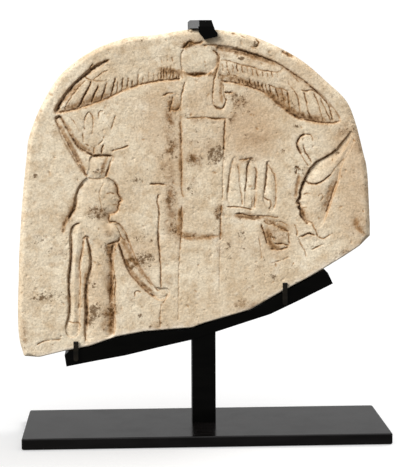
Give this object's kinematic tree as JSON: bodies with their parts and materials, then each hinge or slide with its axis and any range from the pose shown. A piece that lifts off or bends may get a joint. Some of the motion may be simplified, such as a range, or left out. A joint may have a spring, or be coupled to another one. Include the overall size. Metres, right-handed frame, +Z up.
{
  "type": "carved stone stele fragment on a display mount",
  "caption": "Round-topped limestone stele fragment in sunk relief with a winged disc, a goddess and a king, held by a black steel cradle, post and base plate.",
  "frame": {"origin": "centre of the base plate's underside", "axes": "+Z up; the carved face looks towards -Y; +X to the viewer's right as they face the carving"},
  "size_m": [0.3785, 0.13, 0.4254],
  "materials": {
    "limestone": "worn cream limestone with brown soiling in the cuts",
    "black_steel": "satin black"
  },
  "bodies": {
    "root": {"stone": "limestone", "base_plate": "black_steel", "post": "black_steel", "cradle": "black_steel", "prong_left": "black_steel", "prong_right": "black_steel", "top_clip": "black_steel", "back_bar": "black_steel"}
  },
  "joints": []
}
